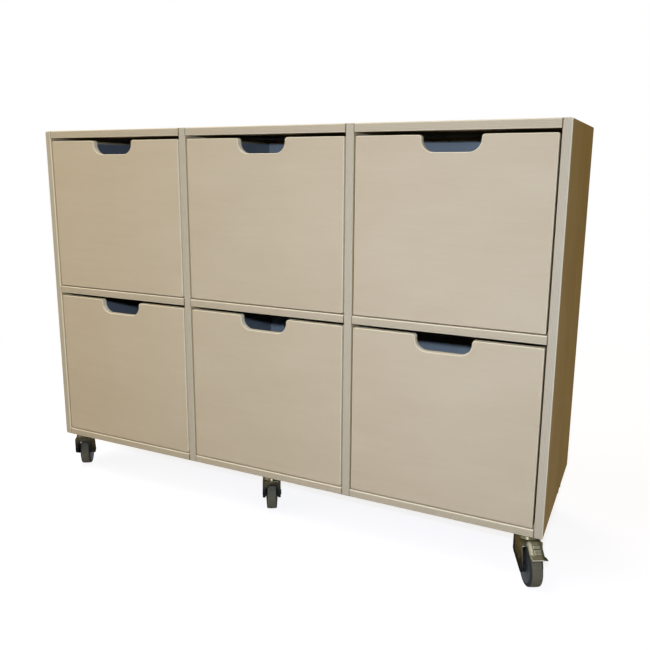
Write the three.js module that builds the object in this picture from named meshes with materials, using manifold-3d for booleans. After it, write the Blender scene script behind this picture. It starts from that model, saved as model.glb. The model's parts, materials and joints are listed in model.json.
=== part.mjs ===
// Classroom tray storage unit: a birch plywood carcass of three columns and two rows on six swivel castors,
// with a sliding tray in every bay. Millimetres, +Z up, front towards -Y.
// The origin is on the floor, under the middle of the carcass.
import * as THREE from "three";
import { mergeVertices } from "three/addons/utils/BufferGeometryUtils.js";
import Module from "manifold-3d";

const wasm = await Module();
wasm.setup();

// Carcass
const columnNames = ["left", "middle", "right"];
const rowNames = ["lower", "upper"];
const plyThickness = 18;
const bayWidth = 410;
const bayHeight = 390;
const carcassDepth = 410;
const backThickness = 8;

// Tray fronts and the gaps round them in the bay
const frontThickness = 15;
const frontRecess = 1;
const frontCornerRadius = 3;
const frontSideGap = 4;
const frontTopGap = 8;
const frontBottomGap = 3;

// Finger cut-out in the top edge of each front
const notchWidth = 120;
const notchDepth = 34;
const notchCornerRadius = 25;
const notchLipRadius = 6;

// Tray behind the front
const trayWall = 12;
const trayBottomThickness = 6;
const trayBottomHeight = 10;
const trayTopDrop = 4;
const trayRunningGap = 0.3;
const trayRearClearance = 18;

// Castors
const castorInset = 34;
const castorTrail = 30;
const castorSeatGap = 0.3;
const wheelDiameter = 80;
const treadWidth = 25;
const treadShoulder = 3;
const flankWidth = 29.5;
const hubLength = 38;
const hubDiameter = 20;
const hubSideGap = 0.75;
const axleDiameter = 8;
const axleClearance = 0.4;
const axleHeadWidth = 13;
const axleHeadHeight = 1.5;
const forkSheet = 2.5;
const forkRearReach = 23;
const forkFrontReach = 26;
const forkRearLength = 43.5;
const forkBossRadius = 11;
const forkBossRearAngle = -108;
const forkBossFrontAngle = 9;
const skirtWidth = 7.4;
const skirtArchRadius = 14.8;
const skirtArchDrop = 10.5;
const headFlangeDiameter = 48;
const headFlangeHeight = 3;
const headRaceDiameter = 43;
const headHeight = 13.2;

// Turn of each castor about its stem, in degrees: 0 leaves the wheel trailing to the front
const castorTurns = {
  front: { left: 213, middle: 209, right: 28 },
  rear: { left: 208, middle: 29, right: 270 },
};

// Brake pedal on two diagonal castors
const brakedCastors = ["front_right", "rear_left"];
const pedalSheet = 2;
const pedalWidth = 28;
const pedalFlat = 5;
const pedalSpan = 41;
const pedalDrop = 7;
const pedalHumpAhead = 8;
const pedalHumpRise = 22;
const pedalLip = 14;
const pedalLipWidth = 32;
const pedalLipOverlap = 1.5;
const pedalPinDiameter = 5;
const pedalPinAhead = 22;
const pedalPinClearance = 0.4;
const pedalBarrelDiameter = 9;
const pedalBarrelGap = 0.5;
const pedalBarrelSideGap = 0.75;
const brakeShoeAhead = 18;
const brakeShoeLength = 8;
const brakeShoeWidth = 24;
const brakeShoeGap = 6;
const brakeShoeRise = 6;
const barrelTyreGap = 2.5;

// Facets of round pieces
const wheelFacets = 28;
const headFacets = 24;
const smallFacets = 16;
const boltHeadFacets = 6;
const arcFacets = 6;
const pedalFacets = 8;
const mergeTolerance = 1e-4;

// Worked out from the sizes above
const carcassWidth = columnNames.length * bayWidth + (columnNames.length + 1) * plyThickness;
const carcassHeight = rowNames.length * bayHeight + (rowNames.length + 1) * plyThickness;
const frontFace = -carcassDepth / 2;
const backInnerFace = carcassDepth / 2 - backThickness;
const wheelRadius = wheelDiameter / 2;
const crownBottom = wheelDiameter + barrelTyreGap + pedalBarrelDiameter + pedalBarrelGap;
const crownTop = crownBottom + forkSheet;
const pedalTop = crownBottom - pedalBarrelGap;
const carcassBottom = crownTop + headHeight + castorSeatGap;
const forkInnerHalf = hubLength / 2 + hubSideGap;
const forkOuterHalf = forkInnerHalf + forkSheet;

const unit = new THREE.Group();

// Materials: each piece gets a copy of its own
const looks = {
  birch: { color: 0xd9c9ad, roughness: 0.45, metalness: 0 },
  trayGrey: { color: 0x6d7683, roughness: 0.5, metalness: 0 },
  zinc: { color: 0xb9b7ae, roughness: 0.35, metalness: 1 },
  rubber: { color: 0x54565a, roughness: 0.7, metalness: 0 },
};

function addPiece(parent, name, geometry, look) {
  const mesh = new THREE.Mesh(geometry, new THREE.MeshStandardMaterial(looks[look]));
  mesh.name = name;
  parent.add(mesh);
  return mesh;
}

// A board given by its lowest corner and its size along X, Y and Z
function board(low, size) {
  const geometry = new THREE.BoxGeometry(...size);
  return geometry.translate(low[0] + size[0] / 2, low[1] + size[1] / 2, low[2] + size[2] / 2);
}

function toSolid(geometry) {
  const bare = geometry.clone();
  bare.deleteAttribute("normal");
  bare.deleteAttribute("uv");
  const merged = mergeVertices(bare, mergeTolerance);
  const vertProperties = merged.getAttribute("position").array;
  const triVerts = new Uint32Array(merged.index.array);
  return new wasm.Manifold(new wasm.Mesh({ numProp: 3, vertProperties, triVerts }));
}

function toGeometry(solid) {
  const { vertProperties, triVerts } = solid.getMesh();
  const geometry = new THREE.BufferGeometry();
  geometry.setAttribute("position", new THREE.BufferAttribute(new Float32Array(vertProperties), 3));
  geometry.setIndex(new THREE.BufferAttribute(new Uint32Array(triVerts), 1));
  return geometry;
}

function joined(geometries) {
  return geometries.map(toSolid).reduce((whole, next) => whole.add(next));
}

// A cylinder along X between two stations
function rodAlongX(diameter, from, to, facets) {
  const rod = new THREE.CylinderGeometry(diameter / 2, diameter / 2, to - from, facets);
  return rod.rotateZ(Math.PI / 2).translate((from + to) / 2, 0, 0);
}

// An outline drawn with its first axis along -Y (ahead) and its second along Z, given width along X
function plateAcross(outline, from, to) {
  const plate = new THREE.ExtrudeGeometry(outline, {
    depth: to - from,
    bevelEnabled: false,
    curveSegments: arcFacets,
  });
  const aheadUpAcross = new THREE.Matrix4().makeBasis(
    new THREE.Vector3(0, -1, 0),
    new THREE.Vector3(0, 0, 1),
    new THREE.Vector3(-1, 0, 0),
  );
  return plate.applyMatrix4(aheadUpAcross).translate(to, 0, 0);
}

// Carcass: uprights, then the boards of each column, then the back panel between the outer sides
function bayLeft(column) {
  return -carcassWidth / 2 + plyThickness + column * (bayWidth + plyThickness);
}

function bayBottom(row) {
  return carcassBottom + plyThickness + row * (bayHeight + plyThickness);
}

function addCarcass() {
  const innerDepth = backInnerFace - frontFace;
  const uprights = ["side_left", "divider_left", "divider_right", "side_right"];
  uprights.forEach((name, index) => {
    const isOuter = index === 0 || index === columnNames.length;
    const size = [plyThickness, isOuter ? carcassDepth : innerDepth, carcassHeight];
    const low = [bayLeft(index) - plyThickness, frontFace, carcassBottom];
    addPiece(unit, name, board(low, size), "birch");
  });

  const levels = ["base", "shelf", "top"];
  levels.forEach((level, row) => {
    columnNames.forEach((columnName, column) => {
      const low = [bayLeft(column), frontFace, bayBottom(row) - plyThickness];
      const size = [bayWidth, innerDepth, plyThickness];
      addPiece(unit, `${level}_${columnName}`, board(low, size), "birch");
    });
  });

  const backLow = [-carcassWidth / 2 + plyThickness, backInnerFace, carcassBottom];
  const backSize = [carcassWidth - 2 * plyThickness, backThickness, carcassHeight];
  addPiece(unit, "back_panel", board(backLow, backSize), "birch");
}

// Tray front: a rectangle with eased corners whose top edge dips into the finger cut-out
function frontOutline(width, height) {
  const side = width / 2 - frontCornerRadius;
  const top = height - frontCornerRadius;
  const notchSide = notchWidth / 2;
  const notchCorner = notchSide - notchCornerRadius;
  const notchFloor = height - notchDepth + notchCornerRadius;
  const lip = notchSide + notchLipRadius;
  const quarter = Math.PI / 2;
  const outline = new THREE.Shape();
  outline.absarc(-side, frontCornerRadius, frontCornerRadius, 2 * quarter, 3 * quarter, false);
  outline.absarc(side, frontCornerRadius, frontCornerRadius, 3 * quarter, 4 * quarter, false);
  outline.absarc(side, top, frontCornerRadius, 0, quarter, false);
  outline.absarc(lip, height - notchLipRadius, notchLipRadius, quarter, 2 * quarter, false);
  outline.absarc(notchCorner, notchFloor, notchCornerRadius, 0, -quarter, true);
  outline.absarc(-notchCorner, notchFloor, notchCornerRadius, -quarter, -2 * quarter, true);
  outline.absarc(-lip, height - notchLipRadius, notchLipRadius, 0, quarter, false);
  outline.absarc(-side, top, frontCornerRadius, quarter, 2 * quarter, false);
  outline.closePath();
  return outline;
}

function addTray(rowName, row, columnName, column) {
  const name = `drawer_${rowName}_${columnName}`;
  const tray = new THREE.Group();
  tray.position.set(bayLeft(column) + bayWidth / 2, frontFace + frontRecess, bayBottom(row));
  unit.add(tray);

  const width = bayWidth - 2 * frontSideGap;
  const frontHeight = bayHeight - frontTopGap - frontBottomGap;
  const front = new THREE.ExtrudeGeometry(frontOutline(width, frontHeight), {
    depth: frontThickness,
    bevelEnabled: false,
    curveSegments: arcFacets,
  });
  front.rotateX(Math.PI / 2).translate(0, frontThickness, frontBottomGap);
  addPiece(tray, `${name}_front`, front, "birch");

  const depth = carcassDepth - backThickness - trayRearClearance - frontRecess - frontThickness;
  const wallHeight = bayHeight - frontTopGap - trayTopDrop - trayRunningGap;
  const wallSize = [trayWall, depth, wallHeight];
  const leftLow = [-width / 2, frontThickness, trayRunningGap];
  const rightLow = [width / 2 - trayWall, frontThickness, trayRunningGap];
  addPiece(tray, `${name}_wall_left`, board(leftLow, wallSize), "trayGrey");
  addPiece(tray, `${name}_wall_right`, board(rightLow, wallSize), "trayGrey");

  const innerWidth = width - 2 * trayWall;
  const innerDepth = depth - trayWall;
  const rearLow = [-innerWidth / 2, frontThickness + innerDepth, trayRunningGap];
  addPiece(tray, `${name}_wall_rear`, board(rearLow, [innerWidth, trayWall, wallHeight]), "trayGrey");

  const bottomLow = [-innerWidth / 2, frontThickness, trayRunningGap + trayBottomHeight];
  const bottomSize = [innerWidth, innerDepth, trayBottomThickness];
  addPiece(tray, `${name}_bottom`, board(bottomLow, bottomSize), "trayGrey");
}

// Castor pieces, in the castor's own frame: stem on the Z axis, wheel trailing towards -Y, floor at z = 0
// Wheel: a hub, flanks that lean in towards the tread, and a rounded shoulder at each side of the tread
function wheelGeometry() {
  const shoulder = (from, to, side) =>
    Array.from({ length: arcFacets / 2 + 1 }, (_, step) => {
      const angle = from + ((to - from) * step) / (arcFacets / 2);
      return new THREE.Vector2(
        wheelRadius - treadShoulder + treadShoulder * Math.cos(angle),
        side * (treadWidth / 2 - treadShoulder + treadShoulder * Math.sin(angle)),
      );
    });
  const bore = axleDiameter / 2 + axleClearance;
  const half = (side) => [
    new THREE.Vector2(bore, (side * hubLength) / 2),
    new THREE.Vector2(hubDiameter / 2, (side * hubLength) / 2),
    new THREE.Vector2(hubDiameter / 2, (side * flankWidth) / 2),
    ...shoulder(Math.PI / 2, 0, side),
  ];
  const profile = [...half(-1), ...half(1).reverse()];
  profile.push(profile[0].clone());
  return new THREE.LatheGeometry(profile, wheelFacets)
    .rotateZ(Math.PI / 2)
    .translate(0, -castorTrail, wheelRadius);
}

function legOutline() {
  const outline = new THREE.Shape();
  outline.moveTo(-forkRearReach, crownTop);
  outline.lineTo(-forkRearReach, crownTop - forkRearLength);
  const from = THREE.MathUtils.degToRad(forkBossRearAngle);
  const to = THREE.MathUtils.degToRad(forkBossFrontAngle);
  outline.absarc(castorTrail, wheelRadius, forkBossRadius, from, to, false);
  outline.lineTo(forkFrontReach, crownTop);
  outline.closePath();
  return outline;
}

// Skirt across the leading end of the fork, with an arched opening over the wheel
function forkSkirt() {
  const foot = crownTop - forkRearLength;
  const inner = forkOuterHalf - skirtWidth;
  const archCentre = inner - skirtArchRadius;
  const spring = crownTop - skirtArchDrop - skirtArchRadius;
  const quarter = Math.PI / 2;
  const outline = new THREE.Shape();
  outline.moveTo(-forkOuterHalf, foot);
  outline.lineTo(-inner, foot);
  outline.absarc(-archCentre, spring, skirtArchRadius, 2 * quarter, quarter, true);
  outline.absarc(archCentre, spring, skirtArchRadius, quarter, 0, true);
  outline.lineTo(inner, foot);
  outline.lineTo(forkOuterHalf, foot);
  outline.lineTo(forkOuterHalf, crownTop);
  outline.lineTo(-forkOuterHalf, crownTop);
  outline.closePath();
  const skirt = new THREE.ExtrudeGeometry(outline, {
    depth: forkSheet,
    bevelEnabled: false,
    curveSegments: arcFacets,
  });
  return skirt.rotateX(quarter).translate(0, forkRearReach, 0);
}

function swivelHead() {
  const flangeBottom = crownTop + headHeight - headFlangeHeight;
  const profile = [
    new THREE.Vector2(0, crownTop - forkSheet / 2),
    new THREE.Vector2(headRaceDiameter / 2, crownTop - forkSheet / 2),
    new THREE.Vector2(headRaceDiameter / 2, flangeBottom),
    new THREE.Vector2(headFlangeDiameter / 2, flangeBottom),
    new THREE.Vector2(headFlangeDiameter / 2, flangeBottom + headFlangeHeight),
    new THREE.Vector2(0, flangeBottom + headFlangeHeight),
  ];
  return new THREE.LatheGeometry(profile, headFacets).rotateX(Math.PI / 2);
}

function forkGeometry(isBraked) {
  const axle = [0, -castorTrail, wheelRadius];
  const headFrom = forkOuterHalf - forkSheet / 2;
  const headTo = forkOuterHalf + axleHeadHeight;
  const crownSize = [2 * forkOuterHalf, forkRearReach + forkFrontReach, forkSheet];
  const pieces = [
    board([-forkOuterHalf, -forkFrontReach, crownBottom], crownSize),
    swivelHead(),
    forkSkirt(),
    plateAcross(legOutline(), forkInnerHalf, forkOuterHalf),
    plateAcross(legOutline(), -forkOuterHalf, -forkInnerHalf),
    rodAlongX(axleDiameter, -headFrom, headFrom, smallFacets).translate(...axle),
    rodAlongX(axleHeadWidth, headFrom, headTo, boltHeadFacets).translate(...axle),
    rodAlongX(axleHeadWidth, -headTo, -headFrom, boltHeadFacets).translate(...axle),
  ];
  if (isBraked) {
    const pin = rodAlongX(pedalPinDiameter, -headFrom, headFrom, smallFacets);
    pieces.push(pin.translate(...pedalPivot()));
  }
  return toGeometry(joined(pieces));
}

function pedalPivot() {
  return [0, -pedalPinAhead, pedalTop - pedalBarrelDiameter / 2];
}

// Pedal: a barrel round its pin, a humped plate that dips to the front, a foot lip and a brake shoe
function ribbon(points, thickness) {
  const under = points.map((point, index) => {
    const before = points[Math.max(index - 1, 0)];
    const after = points[Math.min(index + 1, points.length - 1)];
    const run = after.clone().sub(before).normalize();
    return new THREE.Vector2(point.x + run.y * thickness, point.y - run.x * thickness);
  });
  return new THREE.Shape([...points, ...under.reverse()]);
}

function pedalPlate() {
  const start = new THREE.Vector2(pedalPinAhead, pedalTop);
  const flatEnd = new THREE.Vector2(pedalPinAhead + pedalFlat, pedalTop);
  const hump = new THREE.Vector2(flatEnd.x + pedalHumpAhead, pedalTop + pedalHumpRise);
  const lipStart = new THREE.Vector2(flatEnd.x + pedalSpan, pedalTop - pedalDrop);
  const curve = new THREE.QuadraticBezierCurve(flatEnd, hump, lipStart).getPoints(pedalFacets);
  return plateAcross(ribbon([start, ...curve], pedalSheet), -pedalWidth / 2, pedalWidth / 2);
}

function pedalFootLip() {
  const near = pedalPinAhead + pedalFlat + pedalSpan - pedalLipOverlap;
  const low = [-pedalLipWidth / 2, -(near + pedalLip), pedalTop - pedalDrop - pedalSheet];
  return board(low, [pedalLipWidth, pedalLip, pedalSheet]);
}

function brakeShoe() {
  const near = pedalPinAhead + brakeShoeAhead;
  const tyreHeight = wheelRadius + Math.sqrt(wheelRadius ** 2 - (near - castorTrail) ** 2);
  const bottom = tyreHeight + brakeShoeGap;
  const low = [-brakeShoeWidth / 2, -(near + brakeShoeLength), bottom];
  return board(low, [brakeShoeWidth, brakeShoeLength, pedalTop + brakeShoeRise - bottom]);
}

function pedalGeometry() {
  const half = forkInnerHalf - pedalBarrelSideGap;
  const boreDiameter = pedalPinDiameter + 2 * pedalPinClearance;
  const barrel = rodAlongX(pedalBarrelDiameter, -half, half, smallFacets).translate(...pedalPivot());
  const bore = rodAlongX(boreDiameter, -2 * half, 2 * half, smallFacets).translate(...pedalPivot());
  const pedal = joined([barrel, pedalPlate(), pedalFootLip(), brakeShoe()]);
  return toGeometry(pedal.subtract(toSolid(bore)));
}

function addCastor(name, x, y, turn) {
  const castor = new THREE.Group();
  castor.position.set(x, y, 0);
  castor.rotation.z = THREE.MathUtils.degToRad(turn);
  unit.add(castor);
  const isBraked = brakedCastors.includes(name);
  addPiece(castor, `castor_${name}_fork`, forkGeometry(isBraked), "zinc");
  addPiece(castor, `castor_${name}_wheel`, wheelGeometry(), "rubber");
  if (isBraked) {
    addPiece(castor, `castor_${name}_pedal`, pedalGeometry(), "zinc");
  }
}

addCarcass();
rowNames.forEach((rowName, row) => {
  columnNames.forEach((columnName, column) => addTray(rowName, row, columnName, column));
});

const castorX = carcassWidth / 2 - castorInset;
const castorY = carcassDepth / 2 - castorInset;
const castorColumns = { left: -castorX, middle: 0, right: castorX };
const castorEnds = { front: -castorY, rear: castorY };
for (const [end, y] of Object.entries(castorEnds)) {
  for (const [column, x] of Object.entries(castorColumns)) {
    addCastor(`${end}_${column}`, x, y, castorTurns[end][column]);
  }
}

export default unit;
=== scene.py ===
# Classroom tray storage unit: the look of its birch plywood carcass, six trays and six swivel castors.
# Metres, +Z up, front towards -Y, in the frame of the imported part.
import json
import math

import bmesh
import bpy
from mathutils import Matrix, Vector


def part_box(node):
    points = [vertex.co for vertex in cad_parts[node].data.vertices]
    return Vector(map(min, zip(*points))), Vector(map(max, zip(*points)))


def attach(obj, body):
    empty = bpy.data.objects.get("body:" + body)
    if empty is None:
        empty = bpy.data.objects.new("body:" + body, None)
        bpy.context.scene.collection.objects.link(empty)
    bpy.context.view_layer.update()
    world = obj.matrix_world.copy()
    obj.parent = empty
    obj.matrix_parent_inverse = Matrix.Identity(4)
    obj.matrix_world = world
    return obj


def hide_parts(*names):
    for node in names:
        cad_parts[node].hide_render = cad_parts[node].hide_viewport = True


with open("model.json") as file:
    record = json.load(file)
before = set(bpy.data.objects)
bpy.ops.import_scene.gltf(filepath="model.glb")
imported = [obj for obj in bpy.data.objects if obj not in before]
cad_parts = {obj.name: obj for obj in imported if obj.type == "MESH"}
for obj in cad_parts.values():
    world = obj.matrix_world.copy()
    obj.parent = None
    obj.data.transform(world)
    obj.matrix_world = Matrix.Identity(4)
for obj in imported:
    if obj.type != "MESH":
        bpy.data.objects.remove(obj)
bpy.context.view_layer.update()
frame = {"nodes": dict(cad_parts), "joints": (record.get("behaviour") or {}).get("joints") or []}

MM = 0.001
COLUMNS = ("left", "middle", "right")
ROWS = ("lower", "upper")
LEVELS = ("base", "shelf", "top")
UPRIGHTS = ("side_left", "divider_left", "divider_right", "side_right")
X, Y, Z = 0, 1, 2

# Boards: rounding of the arrises, and plies in the thickness of each kind of board
UPRIGHT_ARRIS = 2.4 * MM
SIDE_ARRISES = {"side_left": 3.4 * MM, "side_right": 3.0 * MM}
SHELF_ARRIS = 2.8 * MM
FRONT_ARRIS = 1.8 * MM
FRONT_BACK_ARRIS = 0.8 * MM
TRAY_ARRIS = 1.0 * MM
BACK_ARRIS = 0.6 * MM
ARRIS_STEPS = 4
ROUND_PROFILE = 0.5
NEAR_FACE = 0.4
CARCASS_PLIES = 13
FRONT_PLIES = 11
BACK_PLIES = 5

# Outline of a tray front and of the finger cut-out in its top edge
FRONT_CORNER = 3 * MM
NOTCH_WIDTH = 120 * MM
NOTCH_DEPTH = 34 * MM
NOTCH_CORNER = 25 * MM
NOTCH_LIP = 6 * MM
ARC_STEPS = 10

# Meshes: welding distances, roundings of turned profiles, and smooth shading
WELD = 0.001 * MM
OUTLINE_WELD = 0.01 * MM
CORNER_STEPS = 3
CORNER_REACH = 0.45
SHARP_ANGLE = math.radians(40)
EVEN_SHADING = 100

# Castor wheel
WHEEL_RADIUS = 40 * MM
TREAD_HALF = 12.5 * MM
TREAD_SHOULDER = 3 * MM
TREAD_CROWN = 0.5 * MM
FLANK_HALF = 14.75 * MM
RIM_RADIUS = 32 * MM
RIM_SEAM = 0.5 * MM
HUB_RADIUS = 10 * MM
HUB_RIM = 0.8 * MM
HUB_HALF = 19 * MM
BORE_RADIUS = 4.4 * MM
WHEEL_ROUND = 0.5 * MM
ROUND_STEPS = 64

# Castor fork and swivel head
TRAIL = 30 * MM
FORK_SHEET = 2.5 * MM
FORK_HALF = 22.25 * MM
FORK_BEND = 6 * MM
FORK_REAR = 23 * MM
FORK_FRONT = 26 * MM
FORK_REAR_LENGTH = 43.5 * MM
BOSS_RADIUS = 11 * MM
BOSS_REAR_ANGLE = math.radians(108)
BOSS_FRONT_ANGLE = math.radians(9)
SEAT_GAP = 0.3 * MM
HEAD_HEIGHT = 13.2 * MM
HEAD_FLANGE_RADIUS = 24 * MM
HEAD_RACE_RADIUS = 21.5 * MM
HEAD_FLANGE = 3 * MM
HEAD_NECK_RADIUS = 16 * MM
RACE_TOP_RADIUS = 17.9 * MM
RACE_HEIGHT = 7 * MM
HEAD_ROUND = 0.6 * MM
RACE_ROUND = 0.8 * MM
KINGPIN_RADIUS = 7.5 * MM
KINGPIN_DEPTH = 3 * MM
FOOT_REACH = 0.998
FOOT_CROWDING = 1.5
LEG_STEPS = 24
BEND_STEPS = 6
FORK_COLUMNS = 10
AXLE_RADIUS = 4 * MM
AXLE_HEAD_RADIUS = 6.5 * MM
AXLE_HEAD_HEIGHT = 1.5 * MM
AXLE_HEAD_CHAMFER = 0.4 * MM
CHAMFER_STEPS = 2
PIN_ROUND = 0.2 * MM
SHEET_RIM_ROUND = 0.5 * MM
SHEET_RIM_ANGLE = math.radians(50)
SKIRT_WIDTH = 7.4 * MM
SKIRT_ARCH = 14.8 * MM
SKIRT_ARCH_DROP = 10.5 * MM
SKIRT_ROUND = 1.6 * MM
SKIRT_FOOT = 3 * MM

# Brake pedal
PEDAL_PIN_AHEAD = 22 * MM
PEDAL_PIN_RADIUS = 2.5 * MM
PEDAL_BARREL_RADIUS = 4.5 * MM
PEDAL_BARREL_BORE = 2.9 * MM
PEDAL_BARREL_GAP = 0.5 * MM
PEDAL_BARREL_ROUND = 0.3 * MM
PEDAL_SHEET = 1.6 * MM
PEDAL_BARREL_HALF = 19 * MM
PEDAL_HALF_AT_PIN = 13 * MM
PEDAL_HALF = 14.5 * MM
PEDAL_LIP_HALF = 16 * MM
PEDAL_FLAT = 5 * MM
PEDAL_SPAN = 41 * MM
PEDAL_DROP = 7 * MM
PEDAL_HUMP_AHEAD = 8 * MM
PEDAL_HUMP_RISE = 22 * MM
PEDAL_LIP = 12.5 * MM
PEDAL_LIP_BEND = 3 * MM
PEDAL_FLANGE = 8 * MM
PEDAL_BEND = 6.5 * MM
PEDAL_LIP_FLANGE = 1.8 * MM
PEDAL_PIN_HEAD = 1.5 * MM
PEDAL_PIN_HEAD_RADIUS = 4 * MM
PEDAL_PIN_HEAD_ROUND = 0.8 * MM
PEDAL_ROWS = 60
PEDAL_COLUMNS = 32
FIELD_RISE = 1.0 * MM
FIELD_BAR = (27.5 * MM, 33 * MM)
FIELD_PANEL = (35 * MM, 43.5 * MM)
FIELD_HALF = 7.4 * MM
FIELD_EDGE = 1.2 * MM
SHOE_AHEAD = 18 * MM
SHOE_LENGTH = 8 * MM
SHOE_HALF = 12 * MM
SHOE_GAP = 6 * MM
SHOE_RISE = 6 * MM
SHOE_ROUND = 0.6 * MM

# Finishes: a span is the pair of values between which one tone passes into the next,
# and waves are those of a noise pattern to a metre
WHITE = (1, 1, 1, 1)
BLACK = (0, 0, 0, 1)
UNIT = (0.0, 1.0)
NOISE_SPAN = (0.3, 0.7)
SEED_RANGE = 50.0
COLOUR_MIX_INPUTS = (0, 6, 7)
COLOUR_MIX_OUTPUT = 2

# Birch plywood: tones, darker one first, and waves along the grain and across it
FACE_TONES = ((0.568, 0.478, 0.376, 1), (0.618, 0.532, 0.430, 1))
# Uprights' veneer: darker, warmer and more olive than the faces, a painted warm shade of the carcass sides
SIDE_WARM_SHADE_TONES = ((0.530, 0.405, 0.275, 1), (0.612, 0.535, 0.345, 1))
FLECK = (0.430, 0.335, 0.235, 1)
CLOUD_WAVES = (5.0, 12.0)
STREAK_WAVES = (9.0, 120.0)
FLECK_WAVES = (55.0, 1300.0)
CLOUD_SHARE = 0.62
FLECK_SPAN = (0.66, 0.80)
FLECK_STRENGTH = 0.35
FLECK_RELIEF = 0.5
BIRCH_ROUGHNESS = (0.36, 0.52)

# Edges of the plywood: tones of the end plies and the long plies, the glue lines, and the arrises, paler
# partly as worn wood and partly as a painted highlight
PLY_TONES = ((0.485, 0.412, 0.322, 1), (0.588, 0.518, 0.425, 1))
SIDE_PLY_TONES = ((0.480, 0.425, 0.350, 1), (0.582, 0.528, 0.455, 1))
# Fronts' ply edges, much paler than the carcass's: painted light on the inner edges of the finger cut-outs
FRONT_PLY_LIT_TONES = ((0.800, 0.720, 0.570, 1), (0.900, 0.830, 0.690, 1))
GLUE = (0.270, 0.200, 0.135, 1)
FIBRE_WAVES = 700.0
FIBRE_SPAN = (0.35, 0.65)
FIBRE_STRENGTH = 0.5
PLY_SPAN = (-0.15, 0.15)
GLUE_SPAN = (0.18, 0.04)
GLUE_STRENGTH = 0.65
FACE_SPAN = (0.82, 0.94)
# Paler rounded arrises: partly worn wood, partly a painted highlight along the edges
PALE_ARRIS_WEAR_AND_HIGHLIGHT = (0.900, 0.830, 0.700, 1)
ARRIS_SPAN = (0.985, 0.86)
ARRIS_WEAR_AND_HIGHLIGHT = 0.85
UPRIGHT_WEAR_AND_HIGHLIGHT = 0.25
SIDE_WEAR_AND_HIGHLIGHT = 1.0
OUTWARD_SPAN = (0.0, 0.1)
# Dark line at the ends of the shelves: glue and dirt in part, painted shade of the seam in part
JOINT_LINE = 2.2 * MM
JOINT_DIRT_AND_SHADE = (0.10, 0.07, 0.04, 1)

# Tray boards: speckled laminate inside, raw board outside; the walls and bottom are painted darker and the
# rear paler than one laminate, as painted shade and painted light, and the raw board outside is darkened as
# painted shade of the gaps
WALL_SHADED_TONES = ((0.185, 0.205, 0.246, 1), (0.215, 0.240, 0.284, 1))
REAR_LIT_TONES = ((0.278, 0.310, 0.352, 1), (0.325, 0.362, 0.408, 1))
# Raw board outside the trays, darkened as a painted shade of the gaps between trays and carcass
RAW_BOARD_AND_SHADE_TONES = ((0.150, 0.108, 0.066, 1), (0.235, 0.176, 0.112, 1))
SPECKLE = (0.43, 0.46, 0.50, 1)
LAMINATE_WAVES = 7.0
SPECKLE_WAVES = 900.0
SCUFF_WAVES = (40.0, 12.0, 90.0)
SPECKLE_SPAN = (0.58, 0.72)
SPECKLE_STRENGTH = 0.25
INWARD_SPAN = (0.6, 0.9)
LAMINATE_ROUGHNESS = (0.42, 0.62)

# Zinc plating: tones near the floor, at the crown and on rubbed edges; darker towards the floor and on the
# leading skirt, partly dirt and partly painted shade and dark reflection; on the pedal, paler tones and
# bright ridges as painted light, and painted shade in hollows, on one side and near the pin
FORK_TONES = ((0.028, 0.029, 0.031, 1), (0.165, 0.138, 0.072, 1), (0.24, 0.22, 0.16, 1))
# Pedal tones paler than the fork's, and a bright edge tone: painted light on the upward-facing pedal
PEDAL_LIT_TONES = ((0.030, 0.028, 0.018, 1), (0.205, 0.190, 0.125, 1), (0.72, 0.70, 0.58, 1))
RACE_TONES = ((0.08, 0.07, 0.04, 1), (0.20, 0.172, 0.105, 1), (0.40, 0.38, 0.30, 1))
FORK_METALLIC = 0.45
PEDAL_METALLIC = 0.25
ZINC_WAVES = 70.0
ZINC_GRAIN_WAVES = 1600.0
RUB_WAVES = (300.0, 1500.0, 260.0)
# Height over which the plating passes from the dark foot tone to the crown tone: partly dirt, partly painted
# shade under the carcass and painted dark reflection
FOOT_SHADE_AND_DIRT_SPAN = (48 * MM, 92 * MM)
CLOUD_RISE = 20 * MM
LEADING_SPAN = (10 * MM, 20 * MM)
# Near-black on the lower leading skirt: partly dirt, partly painted shade round the wheel
SKIRT_SHADE_AND_GRIME = (0.014, 0.014, 0.016, 1)
SKIRT_SHADE_AND_GRIME_RISE = 28 * MM
SKIRT_SHADE_AND_GRIME_STRENGTH = 0.92
# Pointiness: convex ridges paler, partly rubbed and partly a painted highlight; hollows darker as painted
# shade
RIDGE_SPAN = (0.508, 0.535)
HOLLOW_SHADE_SPAN = (0.496, 0.475)
RUB_HIGHLIGHT_AND_SHADE_STRENGTH = 0.8
# Painted shade on the pedal's +X side, turned away from the light
OFF_SIDE_SHADE_SPAN = (4 * MM, 10 * MM)
OFF_SIDE_SHADE_STRENGTH = 0.85
# Painted shadow of the carcass on the pedal near its pin
NEAR_PIN_SHADOW_SPAN = (-42 * MM, -30 * MM)
NEAR_PIN_SHADOW_STRENGTH = 0.8
ZINC_ROUGHNESS = (0.22, 0.38)

# Wheel: rubber of the sidewalls and of the rubbed tread, and plastic of the body
WALL_RUBBER = ((0.022, 0.024, 0.025, 1), (0.040, 0.041, 0.040, 1))
TREAD_RUBBER = ((0.090, 0.086, 0.068, 1), (0.190, 0.182, 0.145, 1))
GRIT = (0.30, 0.28, 0.24, 1)
RUBBER_WAVES = 180.0
GRIT_WAVES = 1500.0
GRIT_SPAN = (0.62, 0.75)
GRIT_STRENGTH = 0.4
TREAD_EDGE_SPAN = (11.5 * MM, 9 * MM)
TREAD_DEPTH_SPAN = (WHEEL_RADIUS - 2.4 * MM, WHEEL_RADIUS - 0.9 * MM)
RUBBER_ROUGHNESS = (0.62, 0.82)
PLASTIC_TONES = ((0.014, 0.018, 0.023, 1), (0.030, 0.037, 0.045, 1))
DUST = (0.060, 0.060, 0.056, 1)
HUB_DARK = (0.012, 0.013, 0.015, 1)
PLASTIC_WAVES = 120.0
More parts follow.
